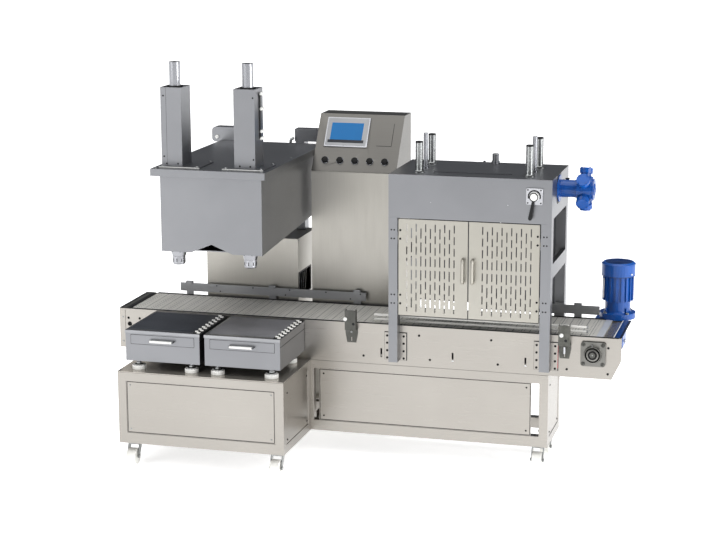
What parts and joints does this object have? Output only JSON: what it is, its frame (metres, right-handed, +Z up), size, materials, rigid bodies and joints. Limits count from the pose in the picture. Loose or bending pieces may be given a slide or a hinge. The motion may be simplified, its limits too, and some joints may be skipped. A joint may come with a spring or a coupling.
{
  "type": "pail filling machine",
  "caption": "Stainless pail filling machine on casters: slat conveyor with a motor drive, floor scales under dip lances, control cabinets behind and a capping unit with slotted doors.",
  "frame": {"origin": "on the floor, at the centre of the overall box: midway along the conveyor and midway between the table's front and the cabinets' back", "axes": "+X along the conveyor towards its drive, +Y away from the operator, +Z up"},
  "size_m": [2.369, 1.065, 1.815],
  "materials": {
    "brushed_stainless": "brushed, warm grey",
    "satin_stainless": "satin, cool grey",
    "dark_plastic": "matt black",
    "blue_enamel": "gloss blue enamel",
    "white_nylon": "white, slightly glossy",
    "zinc_plate": "zinc plated or polished",
    "slat_belt": "pressed steel slats"
  },
  "bodies": {
    "machine": {"air_motor": "blue_enamel", "back_guide_left": "satin_stainless", "back_guide_right": "satin_stainless", "belt_end_cover": "dark_plastic", "capping_back_panel": "satin_stainless", "capping_frame": "satin_stainless", "capping_head": "satin_stainless", "conveyor_back_plate": "brushed_stainless", "conveyor_bed": "brushed_stainless", "conveyor_belt": "slat_belt", "conveyor_front_plate": "brushed_stainless", "drive_drum": "zinc_plate", "filling_housing": "satin_stainless", "flange_bearing": "zinc_plate", "front_guide": "zinc_plate", "gearbox": "blue_enamel", "gearmotor": "blue_enamel", "housing_lid": "satin_stainless", "lift_column_left": "satin_stainless", "lift_column_right": "satin_stainless", "lower_cabinet": "brushed_stainless", "main_frame": "brushed_stainless", "main_front_panel": "brushed_stainless", "main_left_panel": "brushed_stainless", "main_side_panel": "brushed_stainless", "operator_console": "satin_stainless", "rear_support": "satin_stainless", "scale_body_left": "satin_stainless", "scale_body_right": "satin_stainless", "scale_platform_left": "satin_stainless", "scale_platform_right": "satin_stainless", "stop_bracket": "satin_stainless", "table_frame": "brushed_stainless", "table_front_panel": "brushed_stainless", "table_left_panel": "brushed_stainless", "table_side_panel": "brushed_stainless", "table_top": "brushed_stainless", "tail_drum": "zinc_plate", "tall_cabinet": "brushed_stainless", "transfer_plate": "brushed_stainless"},
    "door_left": {"capping_door_left": "brushed_stainless"},
    "door_right": {"capping_door_right": "brushed_stainless"},
    "swivel_1": {"caster_fork_1": "zinc_plate"},
    "swivel_2": {"caster_fork_2": "zinc_plate"},
    "swivel_3": {"caster_fork_3": "zinc_plate"},
    "swivel_4": {"caster_fork_4": "zinc_plate"},
    "swivel_5": {"caster_fork_5": "zinc_plate"},
    "swivel_6": {"caster_fork_6": "zinc_plate"},
    "wheel_1": {"caster_wheel_1": "white_nylon"},
    "wheel_2": {"caster_wheel_2": "white_nylon"},
    "wheel_3": {"caster_wheel_3": "white_nylon"},
    "wheel_4": {"caster_wheel_4": "white_nylon"},
    "wheel_5": {"caster_wheel_5": "white_nylon"},
    "wheel_6": {"caster_wheel_6": "white_nylon"},
    "tray_left": {"drip_tray_left": "satin_stainless"},
    "tray_right": {"drip_tray_right": "satin_stainless"},
    "lance_left": {"filling_lance_left": "zinc_plate"},
    "lance_right": {"filling_lance_right": "zinc_plate"},
    "selector": {"selector_lever": "dark_plastic"}
  },
  "joints": [
    {"name": "lance_slide_left", "type": "slide", "parent": "machine", "child": "lance_left", "axis": [0, 0, 1], "range_m": [-0.09, 0]},
    {"name": "lance_slide_right", "type": "slide", "parent": "machine", "child": "lance_right", "axis": [0, 0, 1], "range_m": [-0.09, 0]},
    {"name": "tray_slide_left", "type": "slide", "parent": "machine", "child": "tray_left", "axis": [0, -1, 0], "range_m": [0, 0.25]},
    {"name": "tray_slide_right", "type": "slide", "parent": "machine", "child": "tray_right", "axis": [0, -1, 0], "range_m": [0, 0.25]},
    {"name": "door_hinge_left", "type": "hinge", "parent": "machine", "child": "door_left", "pos_m": [0.179, -0.171, 0.9125], "axis": [0, 0, -1], "range_deg": [0, 95]},
    {"name": "door_hinge_right", "type": "hinge", "parent": "machine", "child": "door_right", "pos_m": [0.817, -0.171, 0.9125], "axis": [0, 0, 1], "range_deg": [0, 95]},
    {"name": "selector_turn", "type": "hinge", "parent": "machine", "child": "selector", "pos_m": [0.7885, -0.1785, 1.255], "axis": [0, -1, 0], "range_deg": [-45, 45]},
    {"name": "caster_swivel_1", "type": "hinge", "parent": "machine", "child": "swivel_1", "pos_m": [-0.9795, -0.4665, 0.104], "axis": [0, 0, 1], "continuous": true},
    {"name": "caster_spin_1", "type": "hinge", "parent": "swivel_1", "child": "wheel_1", "pos_m": [-0.9795, -0.4945, 0.03732], "axis": [1, 0, 0], "continuous": true},
    {"name": "caster_swivel_2", "type": "hinge", "parent": "machine", "child": "swivel_2", "pos_m": [-0.2975, -0.4665, 0.104], "axis": [0, 0, 1], "continuous": true},
    {"name": "caster_spin_2", "type": "hinge", "parent": "swivel_2", "child": "wheel_2", "pos_m": [-0.2975, -0.4945, 0.03732], "axis": [1, 0, 0], "continuous": true},
    {"name": "caster_swivel_3", "type": "hinge", "parent": "machine", "child": "swivel_3", "pos_m": [0.8055, -0.0565, 0.104], "axis": [0, 0, 1], "continuous": true},
    {"name": "caster_spin_3", "type": "hinge", "parent": "swivel_3", "child": "wheel_3", "pos_m": [0.8055, -0.0845, 0.03732], "axis": [1, 0, 0], "continuous": true},
    {"name": "caster_swivel_4", "type": "hinge", "parent": "machine", "child": "swivel_4", "pos_m": [0.8055, 0.1575, 0.104], "axis": [0, 0, 1], "continuous": true},
    {"name": "caster_spin_4", "type": "hinge", "parent": "swivel_4", "child": "wheel_4", "pos_m": [0.8055, 0.1295, 0.03732], "axis": [1, 0, 0], "continuous": true},
    {"name": "caster_swivel_5", "type": "hinge", "parent": "machine", "child": "swivel_5", "pos_m": [-0.8245, 0.4825, 0.104], "axis": [0, 0, 1], "continuous": true},
    {"name": "caster_spin_5", "type": "hinge", "parent": "swivel_5", "child": "wheel_5", "pos_m": [-0.8245, 0.4545, 0.03732], "axis": [1, 0, 0], "continuous": true},
    {"name": "caster_swivel_6", "type": "hinge", "parent": "machine", "child": "swivel_6", "pos_m": [0.0145, 0.4825, 0.104], "axis": [0, 0, 1], "continuous": true},
    {"name": "caster_spin_6", "type": "hinge", "parent": "swivel_6", "child": "wheel_6", "pos_m": [0.0145, 0.4545, 0.03732], "axis": [1, 0, 0], "continuous": true}
  ]
}
